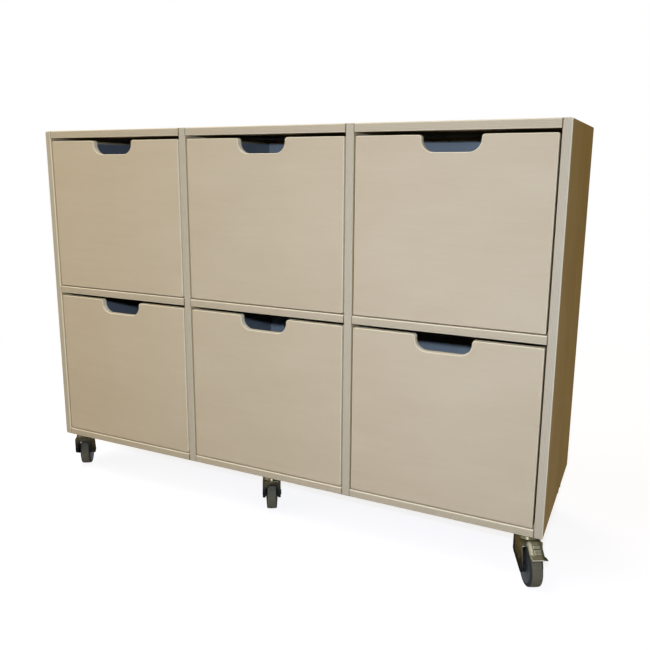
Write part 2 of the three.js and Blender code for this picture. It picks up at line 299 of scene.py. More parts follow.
PLASTIC_GRAIN_WAVES = 1200.0
DUST_SPAN = (24 * MM, RIM_RADIUS)
DUST_STRENGTH = 0.4
HUB_SPAN = (HUB_RADIUS + 2 * HUB_RIM, HUB_RADIUS)
PLASTIC_ROUGHNESS = (0.42, 0.6)

# Camera of the photograph
CAMERA_PLACE = Vector((805.5, -1587.6, 861.9)) * MM
CAMERA_TILT = math.radians(78.45)
CAMERA_TURN = math.radians(26.65)
CAMERA_SENSOR = 36
CAMERA_LENS = 38.9
CAMERA_SHIFT = (0.0298, -0.0291)

# Studio: a white floor and backdrop, a lamp beside the camera, soft ones at the left, overhead and behind
FLOOR_SIZE = 60.0
FLOOR_FADE = (0.9, 2.2)
FLOOR_SEEN = (0.28, 0.28, 0.36, 1)
FLOOR_BOUNCE = (0.45, 0.425, 0.42, 1)
FLOOR_LIFT = 0.85
AMBIENT = (0.28, 0.195, 0.04, 1)
MIDDLE = Vector((0, 0, 0.5))
LAMPS = {
    "key": {
        "place": CAMERA_PLACE + Vector((-0.03, 0.0, 0.11)),
        "aim": Vector((0.2, -0.45, 0.0)),
        "size": 0.05,
        "power": 17.4,
        "colour": (0.68, 0.82, 1.0),
    },
    "fill": {
        "place": Vector((-1.8, -1.6, 1.4)),
        "aim": MIDDLE,
        "size": 1.6,
        "power": 13.6,
        "colour": (1.0, 0.95, 0.68),
    },
    "overhead": {
        "place": Vector((-0.4, -0.9, 3.0)),
        "aim": MIDDLE,
        "size": 1.6,
        "power": 24.0,
        "colour": (1.0, 1.0, 1.0),
    },
    "back": {
        "place": Vector((-1.4, 2.4, 2.0)),
        "aim": MIDDLE,
        "size": 2.0,
        "power": 34.0,
        "colour": (1.0, 0.96, 0.88),
    },
}


# Materials: a small builder for node trees, then one function for each finish
class Nodes:
    """A node tree, built up node by node."""

    def __init__(self, tree):
        self.tree = tree

    def feed(self, socket, value):
        if isinstance(value, bpy.types.NodeSocket):
            self.tree.links.new(value, socket)
        else:
            socket.default_value = value

    def node(self, kind, values, **settings):
        made = self.tree.nodes.new(kind)
        for name, value in settings.items():
            setattr(made, name, value)
        for name, value in values.items():
            self.feed(made.inputs[name], value)
        return made

    def math(self, operation, *values):
        made = self.tree.nodes.new("ShaderNodeMath")
        made.operation = operation
        for socket, value in zip(made.inputs, values):
            self.feed(socket, value)
        return made.outputs[0]

    def mix(self, factor, first, second):
        made = self.tree.nodes.new("ShaderNodeMix")
        made.data_type = "RGBA"
        for index, value in zip(COLOUR_MIX_INPUTS, (factor, first, second)):
            self.feed(made.inputs[index], value)
        return made.outputs[COLOUR_MIX_OUTPUT]

    def seen_directly(self):
        """1 for rays from the camera, a mirror or glass, and 0 for the light that reaches the object."""
        rays = self.tree.nodes.new("ShaderNodeLightPath").outputs
        seen = rays["Is Camera Ray"]
        for name in ("Is Glossy Ray", "Is Transmission Ray"):
            seen = self.math("MAXIMUM", seen, rays[name])
        return seen


class Paint(Nodes):
    """A procedural material."""

    def __init__(self, name):
        self.material = bpy.data.materials.new(name)
        self.material.use_nodes = True
        super().__init__(self.material.node_tree)
        self.shader = self.tree.nodes["Principled BSDF"]
        self.places = self.tree.nodes.new("ShaderNodeTexCoord").outputs

    def finish(self, **values):
        for name, value in values.items():
            label = name.replace("_", " ").title().replace("Ior", "IOR")
            self.feed(self.shader.inputs[label], value)

    def bump(self, height, strength, distance):
        values = {"Height": height, "Strength": strength, "Distance": distance}
        self.finish(normal=self.node("ShaderNodeBump", values).outputs[0])

    def spread(self, value, span, result=UNIT):
        """A value between the ends of a span, brought to the same place between the ends of the result."""
        limits = {
            "Value": value,
            "From Min": span[0],
            "From Max": span[1],
            "To Min": result[0],
            "To Max": result[1],
        }
        return self.node("ShaderNodeMapRange", limits).outputs[0]

    def noise(self, waves, detail=3.0, roughness=0.55):
        """Noise with that many waves to a metre, as one number or as one for each axis."""
        scale = waves if isinstance(waves, tuple) else (waves,) * 3
        placed = self.node("ShaderNodeMapping", {"Vector": self.places["Object"], "Scale": scale})
        values = {
            "Vector": placed.outputs[0],
            "W": self.own_seed(),
            "Scale": 1.0,
            "Detail": detail,
            "Roughness": roughness,
        }
        return self.node("ShaderNodeTexNoise", values, noise_dimensions="4D").outputs["Fac"]

    def own_seed(self):
        """A number that differs from piece to piece, so that no two boards have the same figure."""
        random = self.tree.nodes.new("ShaderNodeObjectInfo").outputs["Random"]
        return self.math("MULTIPLY", random, SEED_RANGE)

    def part_of(self, place, axis):
        return self.node("ShaderNodeSeparateXYZ", {"Vector": self.places[place]}).outputs[axis]

    def distance(self, *axes):
        """How far a point is from the origin of the piece, across two axes."""
        first, second = [self.math("POWER", self.part_of("Object", axis), 2.0) for axis in axes]
        return self.math("SQRT", self.math("ADD", first, second))


def birch(name, tones, ply_tones, grain, thickness, plies, wear_and_highlight, joint_length=None, worn_and_highlit_side=None):
    """Lacquered birch plywood: veneer with its figure on the faces, the plies on the edges, arrises paler
    partly as worn wood and partly as a painted highlight, and a dark line at the board ends, partly glue and
    dirt and partly painted shade of the seam.
    """
    paint = Paint(name)

    def figure(waves, **settings):
        along_grain, across_grain = waves
        scale = [across_grain] * 3
        scale[grain] = along_grain
        return paint.noise(tuple(scale), **settings)

    cloud = figure(CLOUD_WAVES, detail=4.0)
    streak = figure(STREAK_WAVES, detail=5.0, roughness=0.65)
    fleck = figure(FLECK_WAVES, detail=2.0)
    clouded = paint.math("MULTIPLY", paint.spread(cloud, NOISE_SPAN), CLOUD_SHARE)
    tone = paint.math("MULTIPLY_ADD", paint.spread(streak, NOISE_SPAN), 1 - CLOUD_SHARE, clouded)
    veneer = paint.mix(tone, *tones)
    veneer = paint.mix(paint.spread(fleck, FLECK_SPAN, (0.0, FLECK_STRENGTH)), veneer, FLECK)

    depth = paint.math("MULTIPLY", paint.part_of("Generated", thickness), float(plies))
    wave = paint.math("SINE", paint.math("MULTIPLY", depth, math.pi))
    fibre = paint.noise(FIBRE_WAVES)
    end_tone, long_tone = ply_tones
    end_ply = paint.mix(paint.spread(fibre, FIBRE_SPAN, (0.0, FIBRE_STRENGTH)), end_tone, long_tone)
    plywood = paint.mix(paint.spread(wave, PLY_SPAN), end_ply, long_tone)
    glue = paint.spread(paint.math("ABSOLUTE", wave), GLUE_SPAN, (0.0, GLUE_STRENGTH))
    plywood = paint.mix(glue, plywood, GLUE)

    facings = [paint.math("ABSOLUTE", paint.part_of("Normal", axis)) for axis in (X, Y, Z)]
    on_face = paint.spread(facings[thickness], FACE_SPAN)
    squarest = paint.math("MAXIMUM", paint.math("MAXIMUM", facings[X], facings[Y]), facings[Z])
    # Arrises paler: partly worn wood, partly a painted highlight; on a given side only its outward arrises
    arris_wear_and_highlight = paint.spread(squarest, ARRIS_SPAN, (0.0, wear_and_highlight))
    if worn_and_highlit_side:
        outward = paint.math("MULTIPLY", paint.part_of("Normal", thickness), float(worn_and_highlit_side))
        arris_wear_and_highlight = paint.math("MULTIPLY", arris_wear_and_highlight, paint.spread(outward, OUTWARD_SPAN))
    wood = paint.mix(arris_wear_and_highlight, paint.mix(on_face, plywood, veneer), PALE_ARRIS_WEAR_AND_HIGHLIGHT)
    # Dark line at the board ends: glue and dirt in part, painted shade of the seam in part
    if joint_length:
        off_centre = paint.math("ABSOLUTE", paint.math("SUBTRACT", paint.part_of("Generated", grain), 0.5))
        at_joint = paint.spread(off_centre, (0.5 - JOINT_LINE / joint_length, 0.5))
        wood = paint.mix(at_joint, wood, JOINT_DIRT_AND_SHADE)
    paint.finish(
        base_color=wood,
        roughness=paint.spread(streak, UNIT, BIRCH_ROUGHNESS),
        specular_ior_level=0.0,
    )
    relief = paint.math("MULTIPLY_ADD", fleck, FLECK_RELIEF, streak)
    paint.bump(relief, strength=0.12, distance=0.25 * MM)
    return paint.material


def grey_board(name, tones, axis, side):
    """Tray board: blue-grey laminate on the side that faces into the tray, and raw brown board elsewhere,
    darkened as a painted shade of the gaps.
    """
    paint = Paint(name)
    cloud = paint.noise(LAMINATE_WAVES, detail=4.0)
    speckle = paint.noise(SPECKLE_WAVES, detail=2.0)
    scuff = paint.noise(SCUFF_WAVES, detail=5.0, roughness=0.7)
    laminate = paint.mix(paint.spread(cloud, NOISE_SPAN), *tones)
    speckled = paint.spread(speckle, SPECKLE_SPAN, (0.0, SPECKLE_STRENGTH))
    laminate = paint.mix(speckled, laminate, SPECKLE)
    fibre = paint.math("MULTIPLY", paint.math("ADD", speckle, cloud), 0.5)
    # Raw brown board, darkened as painted shade
    raw = paint.mix(paint.spread(fibre, FIBRE_SPAN), *RAW_BOARD_AND_SHADE_TONES)
    inward = paint.math("MULTIPLY", paint.part_of("Normal", axis), float(side))
    paint.finish(
        base_color=paint.mix(paint.spread(inward, INWARD_SPAN), raw, laminate),
        roughness=paint.spread(scuff, NOISE_SPAN, LAMINATE_ROUGHNESS),
        specular_ior_level=0.3,
    )
    paint.bump(speckle, strength=0.08, distance=0.2 * MM)
    return paint.material


# With rubbed set, the plating also gets painted highlights on ridges and painted shade in hollows, on the
# far side and near the pin
def zinc(name, tones, metallic, rubbed=False):
    """Dull zinc plating: clouded, olive at the crown, darker near the floor and on the leading skirt, partly
    dirt and partly painted shade and dark reflection; where rubbed, paler ridges partly as a painted
    highlight, and painted shade in hollows, on one side and near the pin.
    """
    paint = Paint(name)
    foot, crown, edge = tones
    cloud = paint.noise(ZINC_WAVES, detail=4.0)
    rub = paint.noise(RUB_WAVES, detail=4.0, roughness=0.7)
    grain = paint.noise(ZINC_GRAIN_WAVES, detail=2.0)
    leading = paint.spread(paint.part_of("Object", Y), LEADING_SPAN)
    clouded = paint.spread(cloud, NOISE_SPAN)
    height = paint.math("MULTIPLY_ADD", clouded, CLOUD_RISE, paint.part_of("Object", Z))
    # The leading skirt counts as lower, so its darkening reaches higher
    height = paint.math("MULTIPLY_ADD", leading, -SKIRT_SHADE_AND_GRIME_RISE, height)
    # Darker towards the floor: partly dirt, partly painted shade and dark reflection
    plating = paint.mix(paint.spread(height, FOOT_SHADE_AND_DIRT_SPAN), foot, crown)
    if rubbed:
        # Ridges paler, partly rubbed and partly a painted highlight; hollows darker as painted shade
        bend = paint.tree.nodes.new("ShaderNodeNewGeometry").outputs["Pointiness"]
        plating = paint.mix(paint.spread(bend, RIDGE_SPAN, (0.0, RUB_HIGHLIGHT_AND_SHADE_STRENGTH)), plating, edge)
        plating = paint.mix(paint.spread(bend, HOLLOW_SHADE_SPAN, (0.0, RUB_HIGHLIGHT_AND_SHADE_STRENGTH)), plating, foot)
        # Painted shade on the pedal's +X side, turned away from the light
        off_side_shade = paint.spread(paint.part_of("Object", X), OFF_SIDE_SHADE_SPAN, (0.0, OFF_SIDE_SHADE_STRENGTH))
        # Painted shadow of the carcass on the pedal near its pin
        near_pin_shadow = paint.spread(paint.part_of("Object", Y), NEAR_PIN_SHADOW_SPAN, (0.0, NEAR_PIN_SHADOW_STRENGTH))
        plating = paint.mix(paint.math("MAXIMUM", off_side_shade, near_pin_shadow), plating, foot)
    # Lower leading skirt near-black: partly dirt, partly painted shade
    skirt_shade_and_dirt = paint.math("MULTIPLY", leading, paint.spread(height, FOOT_SHADE_AND_DIRT_SPAN, (SKIRT_SHADE_AND_GRIME_STRENGTH, 0.0)))
    paint.finish(
        base_color=paint.mix(skirt_shade_and_dirt, plating, SKIRT_SHADE_AND_GRIME),
        metallic=metallic,
        roughness=paint.spread(rub, NOISE_SPAN, ZINC_ROUGHNESS),
        specular_ior_level=0.0,
        specular_tint=edge,
    )
    paint.bump(grain, strength=0.06, distance=0.1 * MM)
    return paint.material


def tyre_rubber():
    """Grey rubber: darker sidewalls, and a tread that is dusted and rubbed paler."""
    paint = Paint("tyre_rubber")
    mottle = paint.noise(RUBBER_WAVES, detail=5.0, roughness=0.7)
    grit = paint.noise(GRIT_WAVES, detail=2.0)
    across = paint.math("ABSOLUTE", paint.part_of("Object", X))
    on_tread = paint.spread(paint.distance(Y, Z), TREAD_DEPTH_SPAN)
    worn = paint.math("MULTIPLY", on_tread, paint.spread(across, TREAD_EDGE_SPAN))
    colour = paint.mix(worn, paint.mix(mottle, *WALL_RUBBER), paint.mix(mottle, *TREAD_RUBBER))
    gritty = paint.math("MULTIPLY", worn, paint.spread(grit, GRIT_SPAN, (0.0, GRIT_STRENGTH)))
    paint.finish(
        base_color=paint.mix(gritty, colour, GRIT),
        roughness=paint.spread(mottle, NOISE_SPAN, RUBBER_ROUGHNESS),
        specular_ior_level=0.05,
    )
    paint.bump(grit, strength=0.15, distance=0.2 * MM)
    return paint.material


def wheel_plastic():
    """Moulded blue-grey plastic of the wheel body, dusty towards the tyre and dark at the hub."""
    paint = Paint("wheel_plastic")
    radius = paint.distance(Y, Z)
    mottle = paint.noise(PLASTIC_WAVES, detail=4.0)
    grain = paint.noise(PLASTIC_GRAIN_WAVES, detail=2.0)
    dusty = paint.math("MULTIPLY", mottle, paint.spread(radius, DUST_SPAN, (0.0, DUST_STRENGTH)))
    colour = paint.mix(dusty, paint.mix(mottle, *PLASTIC_TONES), DUST)
    paint.finish(
        base_color=paint.mix(paint.spread(radius, HUB_SPAN), colour, HUB_DARK),
        roughness=paint.spread(grain, NOISE_SPAN, PLASTIC_ROUGHNESS),
        specular_ior_level=0.12,
    )
    paint.bump(grain, strength=0.06, distance=0.1 * MM)
    return paint.material


bay_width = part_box("base_middle")[1].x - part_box("base_middle")[0].x
# The uprights take the veneer tones painted with warm shade
upright_finish = (SIDE_WARM_SHADE_TONES, SIDE_PLY_TONES, Z, X, CARCASS_PLIES)
# Arris paleness: partly worn wood, partly a painted highlight; on the right side only its outward arrises
birch_divider = birch("birch_upright", *upright_finish, UPRIGHT_WEAR_AND_HIGHLIGHT)
birch_sides = {
    "side_left": birch("birch_left", *upright_finish, SIDE_WEAR_AND_HIGHLIGHT),
    "side_right": birch("birch_right", *upright_finish, SIDE_WEAR_AND_HIGHLIGHT, worn_and_highlit_side=1),
}
birch_level = birch("birch_level", FACE_TONES, PLY_TONES, X, Z, CARCASS_PLIES, ARRIS_WEAR_AND_HIGHLIGHT, bay_width)
# The fronts' ply edges take the tones painted with light
birch_front = birch("birch_front", FACE_TONES, FRONT_PLY_LIT_TONES, X, Y, FRONT_PLIES, ARRIS_WEAR_AND_HIGHLIGHT)
birch_back = birch("birch_back", FACE_TONES, PLY_TONES, X, Y, BACK_PLIES, ARRIS_WEAR_AND_HIGHLIGHT)
tray_boards = {
    # Walls and bottom: laminate painted darker as shade; rear: laminate painted paler as light
    "wall_left": grey_board("tray_left", WALL_SHADED_TONES, X, 1),
    "wall_right": grey_board("tray_right", WALL_SHADED_TONES, X, -1),
    "wall_rear": grey_board("tray_rear", REAR_LIT_TONES, Y, -1),
    "bottom": grey_board("tray_bottom", WALL_SHADED_TONES, Z, 1),
}
fork_zinc = zinc("fork_zinc", FORK_TONES, FORK_METALLIC)
# The pedal's paler zinc is painted light
pedal_zinc = zinc("pedal_zinc", PEDAL_LIT_TONES, PEDAL_METALLIC, rubbed=True)
race_zinc = zinc("race_zinc", RACE_TONES, FORK_METALLIC)
rubber = tyre_rubber()
plastic = wheel_plastic()


# Pieces: from a closed mesh to an object that stands for its node and rides on its body
def add_piece(name, mesh, material, body, place=None, replaced=None):
    mesh.shade_smooth()
    mesh.set_sharp_from_angle(angle=SHARP_ANGLE)
    piece = bpy.data.objects.new(name, mesh)
    bpy.context.scene.collection.objects.link(piece)
    mesh.materials.append(material)
    if place is not None:
        piece.matrix_world = place
    shading = piece.modifiers.new("even_shading", "WEIGHTED_NORMAL")
    shading.weight = EVEN_SHADING
    shading.keep_sharp = True
    if replaced:
        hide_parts(replaced)
    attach(piece, body)
    return piece


def to_mesh(shape, name):
    bmesh.ops.recalc_face_normals(shape, faces=shape.faces)
    mesh = bpy.data.meshes.new(name)
    shape.to_mesh(mesh)
    shape.free()
    return mesh


def ease(shape, edges, radius, steps=ARRIS_STEPS):
    bmesh.ops.bevel(
        shape,
        geom=edges,
        offset=radius,
        offset_type="OFFSET",
        segments=steps,
        profile=ROUND_PROFILE,
        affect="EDGES",
        clamp_overlap=True,
    )


def block(low, high, eased, radius):
    """A board between two corners, with some edges eased: each by its direction and a face that it is on."""
    shape = bmesh.new()
    size = high - low
    middle = (low + high) / 2
    place = Matrix.Translation(middle) @ Matrix.Diagonal((*size, 1))
    bmesh.ops.create_cube(shape, size=1.0, matrix=place)

    def is_eased(edge):
        run = edge.verts[1].co - edge.verts[0].co
        centre = (edge.verts[0].co + edge.verts[1].co) / 2
        direction = max(range(3), key=lambda axis: abs(run[axis]))
        return any(
            direction == along and (centre[axis] - middle[axis]) * side > size[axis] * NEAR_FACE
            for along, axis, side in eased
        )

    ease(shape, [edge for edge in shape.edges if is_eased(edge)], radius)
    return shape


def add_board(node, body, material, eased, radius):
    low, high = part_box(node)
    mesh = to_mesh(block(low, high, eased, radius), node)
    add_piece(f"{node}_board", mesh, material, body, replaced=node)


def add_carcass():
    for name in UPRIGHTS:
        eased = [(Z, Y, -1), (X, Y, -1)]
        if name.startswith("side"):
            outward = -1 if name.endswith("left") else 1
            eased += [(Z, X, outward), (Y, X, outward)]
        material = birch_sides.get(name, birch_divider)
        radius = SIDE_ARRISES.get(name, UPRIGHT_ARRIS)
        add_board(name, "carcass", material, eased, radius)
    for level in LEVELS:
        for column in COLUMNS:
            add_board(f"{level}_{column}", "carcass", birch_level, [(X, Y, -1)], SHELF_ARRIS)
    add_board("back_panel", "carcass", birch_back, [(X, Y, 1), (Z, Y, 1)], BACK_ARRIS)


# Trays
def arc(centre, radius, start, end):
    """Points round a centre in the XZ plane, between two angles in quarter turns."""
    angles = [(start + (end - start) * step / ARC_STEPS) * math.pi / 2 for step in range(ARC_STEPS + 1)]
    return [(centre[0] + radius * math.cos(a), centre[1] + radius * math.sin(a)) for a in angles]


def front_outline(width, height):
    side = width / 2 - FRONT_CORNER
    top = height - FRONT_CORNER
    bend = NOTCH_WIDTH / 2 - NOTCH_CORNER
    floor = height - NOTCH_DEPTH + NOTCH_CORNER
    lip = NOTCH_WIDTH / 2 + NOTCH_LIP
    return [
        *arc((-side, FRONT_CORNER), FRONT_CORNER, 2, 3),
        *arc((side, FRONT_CORNER), FRONT_CORNER, 3, 4),
        *arc((side, top), FRONT_CORNER, 0, 1),
        *arc((lip, height - NOTCH_LIP), NOTCH_LIP, 1, 2),
        *arc((bend, floor), NOTCH_CORNER, 0, -1),
        *arc((-bend, floor), NOTCH_CORNER, -1, -2),
        *arc((-lip, height - NOTCH_LIP), NOTCH_LIP, 0, 1),
        *arc((-side, top), FRONT_CORNER, 1, 2),
    ]


def slab(outline, near, far):
    """An outline in the XZ plane given depth from one station along Y to another."""
    shape = bmesh.new()
    corners = [shape.verts.new((x, near, z)) for x, z in outline]
    bmesh.ops.remove_doubles(shape, verts=corners, dist=OUTLINE_WELD)
    face = shape.faces.new(shape.verts)
    pushed = bmesh.ops.extrude_face_region(shape, geom=[face])["geom"]
    back = [part for part in pushed if isinstance(part, bmesh.types.BMVert)]
    bmesh.ops.translate(shape, verts=back, vec=(0, far - near, 0))
    return shape


def rim_at(shape, axis, station):
    """The edges of a shape that lie at that station along an axis."""

    def is_there(vert):
        return abs(vert.co[axis] - station) < OUTLINE_WELD

    return [edge for edge in shape.edges if all(map(is_there, edge.verts))]


def add_front(node, body):
    low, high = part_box(node)
    middle = (low.x + high.x) / 2
    outline = front_outline(high.x - low.x, high.z - low.z)
    shape = slab([(middle + x, low.z + z) for x, z in outline], low.y, high.y)
    ease(shape, rim_at(shape, Y, low.y), FRONT_ARRIS)
    ease(shape, rim_at(shape, Y, high.y), FRONT_BACK_ARRIS)
    add_piece(f"{node}_panel", to_mesh(shape, node), birch_front, body, replaced=node)


def add_tray(row, column):
    body = f"drawer_{row}_{column}"
    add_front(f"{body}_front", body)
    side_eased = [(Y, Z, 1), (Y, Z, -1), (Z, Y, 1)]
    eased_edges = {
        "wall_left": side_eased,
        "wall_right": side_eased,
        "wall_rear": [(X, Z, 1)],
        "bottom": [(X, Z, 1)],
    }
    for part, eased in eased_edges.items():
        add_board(f"{body}_{part}", body, tray_boards[part], eased, TRAY_ARRIS)


# Castors, in a castor's own frame: stem on the Z axis, wheel trailing towards -Y, floor at z = 0
carcass_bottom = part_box("base_middle")[0].z
crown_top = carcass_bottom - SEAT_GAP - HEAD_HEIGHT
crown_bottom = crown_top - FORK_SHEET
pedal_top = crown_bottom - PEDAL_BARREL_GAP
pedal_pin_height = pedal_top - PEDAL_BARREL_RADIUS
joints = {joint["name"]: joint for joint in frame["joints"]}


def merged(*shapes):
    """Several closed shapes in one mesh."""
    whole = bmesh.new()
    for shape in shapes:
        mesh = to_mesh(shape, "part")
        whole.from_mesh(mesh)
        bpy.data.meshes.remove(mesh)
    return whole


def moved(shape, ahead, up):
    bmesh.ops.translate(shape, verts=shape.verts, vec=(0, -ahead, up))
    return shape


def revolve(profile, axis):
    """A closed profile of (radius, station) points turned about X or Z."""
    shape = bmesh.new()
    rings = []
    for step in range(ROUND_STEPS):
        angle = 2 * math.pi * step / ROUND_STEPS
        across, up = math.cos(angle), math.sin(angle)
        if axis == X:
            ring = [shape.verts.new((station, radius * across, radius * up)) for radius, station in profile]
        else:
            ring = [shape.verts.new((radius * across, radius * up, station)) for radius, station in profile]
        rings.append(ring)
    for step, ring in enumerate(rings):
        following = rings[(step + 1) % ROUND_STEPS]
        for index in range(len(profile)):
            after = (index + 1) % len(profile)
            if profile[index][0] + profile[after][0] > 0:
                shape.faces.new((ring[index], ring[after], following[after], following[index]))
    bmesh.ops.remove_doubles(shape, verts=shape.verts, dist=WELD)
    return shape


def quarter_turn(steps):
    """Angles from 0 to a right angle."""
    return [math.pi / 2 * step / steps for step in range(steps + 1)]


def curve_points(start, control, end, steps):
    """Points along a curve that bends from its start to its end towards a control point."""
    points = []
    for step in range(steps + 1):
        t = step / steps
        points.append(start * (1 - t) ** 2 + control * 2 * t * (1 - t) + end * t ** 2)
    return points


def rounded(profile, radius):
    """The same closed profile, with a curve of about that radius at every corner that is off the axis."""
    points = [Vector(point) for point in profile]
    result = []
    for index, corner in enumerate(points):
        if corner.x == 0:
            result.append(tuple(corner))
            continue
        before = points[index - 1] - corner
        after = points[(index + 1) % len(points)] - corner
        reach = min(radius, before.length * CORNER_REACH, after.length * CORNER_REACH)
        start = corner + before.normalized() * reach
        end = corner + after.normalized() * reach
        result += [tuple(point) for point in curve_points(start, corner, end, CORNER_STEPS)]
    return result


def disc(radius, start, end, round_radius):
    """A round bar along X, with its ends rounded off."""
    return revolve(rounded([(0, start), (radius, start), (radius, end), (0, end)], round_radius), X)


def sheet_between(outer, inner):
    """A closed shell between two grids of points with the same rows and columns."""
    shape = bmesh.new()
    grids = [[[shape.verts.new(point) for point in row] for row in grid] for grid in (outer, inner)]
    rows = len(outer)
    columns = len(outer[0])
    for grid in grids:
        for i in range(rows - 1):
            for j in range(columns - 1):
                shape.faces.new((grid[i][j], grid[i + 1][j], grid[i + 1][j + 1], grid[i][j + 1]))
    border = [(i, 0) for i in range(rows)]
    border += [(rows - 1, j) for j in range(1, columns)]
    border += [(i, columns - 1) for i in range(rows - 2, -1, -1)]
    border += [(0, j) for j in range(columns - 2, 0, -1)]
    for index, (i, j) in enumerate(border):
        k, m = border[(index + 1) % len(border)]
        shape.faces.new((grids[0][i][j], grids[0][k][m], grids[1][k][m], grids[1][i][j]))
    return shape


def leg_span(height):
    """Rear and front reach of a fork leg at that height."""
    boss = WHEEL_RADIUS
    chord = math.sqrt(max(BOSS_RADIUS ** 2 - (height - boss) ** 2, 0))
    heel = crown_top - FORK_REAR_LENGTH
    toe_rear = TRAIL + BOSS_RADIUS * math.cos(BOSS_REAR_ANGLE)
    toe_rear_height = boss - BOSS_RADIUS * math.sin(BOSS_REAR_ANGLE)
    toe_front = TRAIL + BOSS_RADIUS * math.cos(BOSS_FRONT_ANGLE)
    toe_front_height = boss + BOSS_RADIUS * math.sin(BOSS_FRONT_ANGLE)
    skirt = FORK_SHEET - FORK_REAR
    if height >= heel:
        rear = skirt
    elif height >= toe_rear_height:
        rear = skirt + (toe_rear - skirt) * (heel - height) / (heel - toe_rear_height)
    else:
        rear = TRAIL - chord
    if height >= toe_front_height:
        front = FORK_FRONT + (toe_front - FORK_FRONT) * (crown_top - height) / (crown_top - toe_front_height)
    else:
        front = TRAIL + chord
    return rear, front


def fork_path():
    """Outer and inner points across the fork, from the foot of one leg over the crown to the other foot."""
    foot = WHEEL_RADIUS - BOSS_RADIUS * FOOT_REACH
    bend_height = crown_top - FORK_BEND
    half = []
    for step in range(LEG_STEPS):
        height = foot + (bend_height - foot) * (step / LEG_STEPS) ** FOOT_CROWDING
        half.append(((-FORK_HALF, height), (-FORK_HALF + FORK_SHEET, height)))
    centre = (-FORK_HALF + FORK_BEND, bend_height)
    for angle in quarter_turn(BEND_STEPS):
        turned = [
            (centre[0] - radius * math.cos(angle), centre[1] + radius * math.sin(angle))
            for radius in (FORK_BEND, FORK_BEND - FORK_SHEET)
        ]
        half.append(tuple(turned))
    mirrored = [((-outer[0], outer[1]), (-inner[0], inner[1])) for outer, inner in reversed(half)]
    return half + mirrored


def fork_shape():
    outer, inner = [], []
    for outer_point, inner_point in fork_path():
        rear, front = leg_span(outer_point[1])
        reaches = [rear + (front - rear) * step / FORK_COLUMNS for step in range(FORK_COLUMNS + 1)]
        outer.append([(outer_point[0], -reach, outer_point[1]) for reach in reaches])
        inner.append([(inner_point[0], -reach, inner_point[1]) for reach in reaches])
    return merged(sheet_between(outer, inner), skirt_shape())


def skirt_shape():
    """Plate across the leading end of the fork, with an arched opening over the wheel."""
    foot = crown_top - FORK_REAR_LENGTH
    inside = FORK_HALF - SKIRT_WIDTH
    spring = crown_top - SKIRT_ARCH_DROP - SKIRT_ARCH
    bend = FORK_HALF - FORK_BEND
    outline = [
        *arc((SKIRT_FOOT - FORK_HALF, foot + SKIRT_FOOT), SKIRT_FOOT, 3, 2),
        *arc((-bend, crown_top - FORK_BEND), FORK_BEND, 2, 1),
        *arc((bend, crown_top - FORK_BEND), FORK_BEND, 1, 0),
        *arc((FORK_HALF - SKIRT_FOOT, foot + SKIRT_FOOT), SKIRT_FOOT, 4, 3),
        *arc((inside + SKIRT_FOOT, foot + SKIRT_FOOT), SKIRT_FOOT, 3, 2),
        *arc((inside - SKIRT_ARCH, spring), SKIRT_ARCH, 0, 1),
        *arc((SKIRT_ARCH - inside, spring), SKIRT_ARCH, 1, 2),
        *arc((-inside - SKIRT_FOOT, foot + SKIRT_FOOT), SKIRT_FOOT, 4, 3),
    ]
    shape = slab(outline, FORK_REAR - FORK_SHEET, FORK_REAR)
    ease(shape, rim_at(shape, Y, FORK_REAR), SKIRT_ROUND)
    return shape


def head_shape():
    """Swivel head: the flange that meets the carcass, and its neck."""
    top = crown_top + HEAD_HEIGHT
    flange = top - HEAD_FLANGE
    profile = [
        (0, crown_top + RACE_HEIGHT),
        (HEAD_NECK_RADIUS, crown_top + RACE_HEIGHT),
        (HEAD_NECK_RADIUS, flange),
        (HEAD_FLANGE_RADIUS, flange),
        (HEAD_FLANGE_RADIUS, top),
        (0, top),
    ]
    return revolve(rounded(profile, HEAD_ROUND), Z)


def race_shape():
    """Ball race: a cone on the crown, round the neck of the head."""
    profile = [
        (0, crown_top),
        (HEAD_RACE_RADIUS, crown_top),
        (RACE_TOP_RADIUS, crown_top + RACE_HEIGHT),
        (0, crown_top + RACE_HEIGHT),
    ]
    return revolve(rounded(profile, RACE_ROUND), Z)


def kingpin_shape():
    """The riveted end of the stem, under the crown."""
    turns = quarter_turn(BEND_STEPS)[:-1]
    dome = [(KINGPIN_RADIUS * math.cos(a), crown_bottom - KINGPIN_DEPTH * math.sin(a)) for a in turns]
    return revolve([(0, crown_bottom), *dome, (0, crown_bottom - KINGPIN_DEPTH)], Z)


def hexagon(start, end):
    """A low bolt head or nut along X, with its outer corners chamfered."""
    shape = bmesh.new()
    turn = Matrix.Translation(((start + end) / 2, 0, 0)) @ Matrix.Rotation(math.pi / 2, 4, "Y")
    bmesh.ops.create_cone(
        shape,
        cap_ends=True,
        segments=6,
        radius1=AXLE_HEAD_RADIUS,
        radius2=AXLE_HEAD_RADIUS,
        depth=abs(end - start),
        matrix=turn,
    )
    ease(shape, rim_at(shape, X, end), AXLE_HEAD_CHAMFER, CHAMFER_STEPS)
    return shape


def axle_shape():
    """The axle bolt through the fork, with its head and its nut."""
    head = FORK_HALF + AXLE_HEAD_HEIGHT
    parts = [disc(AXLE_RADIUS, -FORK_HALF, FORK_HALF, PIN_ROUND)]
    for side in (-1, 1):
        parts.append(hexagon(side * FORK_HALF, side * head))
    return moved(merged(*parts), TRAIL, WHEEL_RADIUS)


def flank_at(radius):
    """Half the width of the wheel at that radius: its flanks lean in towards the tread."""
    part = (radius - HUB_RADIUS) / (WHEEL_RADIUS - TREAD_SHOULDER - HUB_RADIUS)
    return FLANK_HALF + (TREAD_HALF - FLANK_HALF) * part


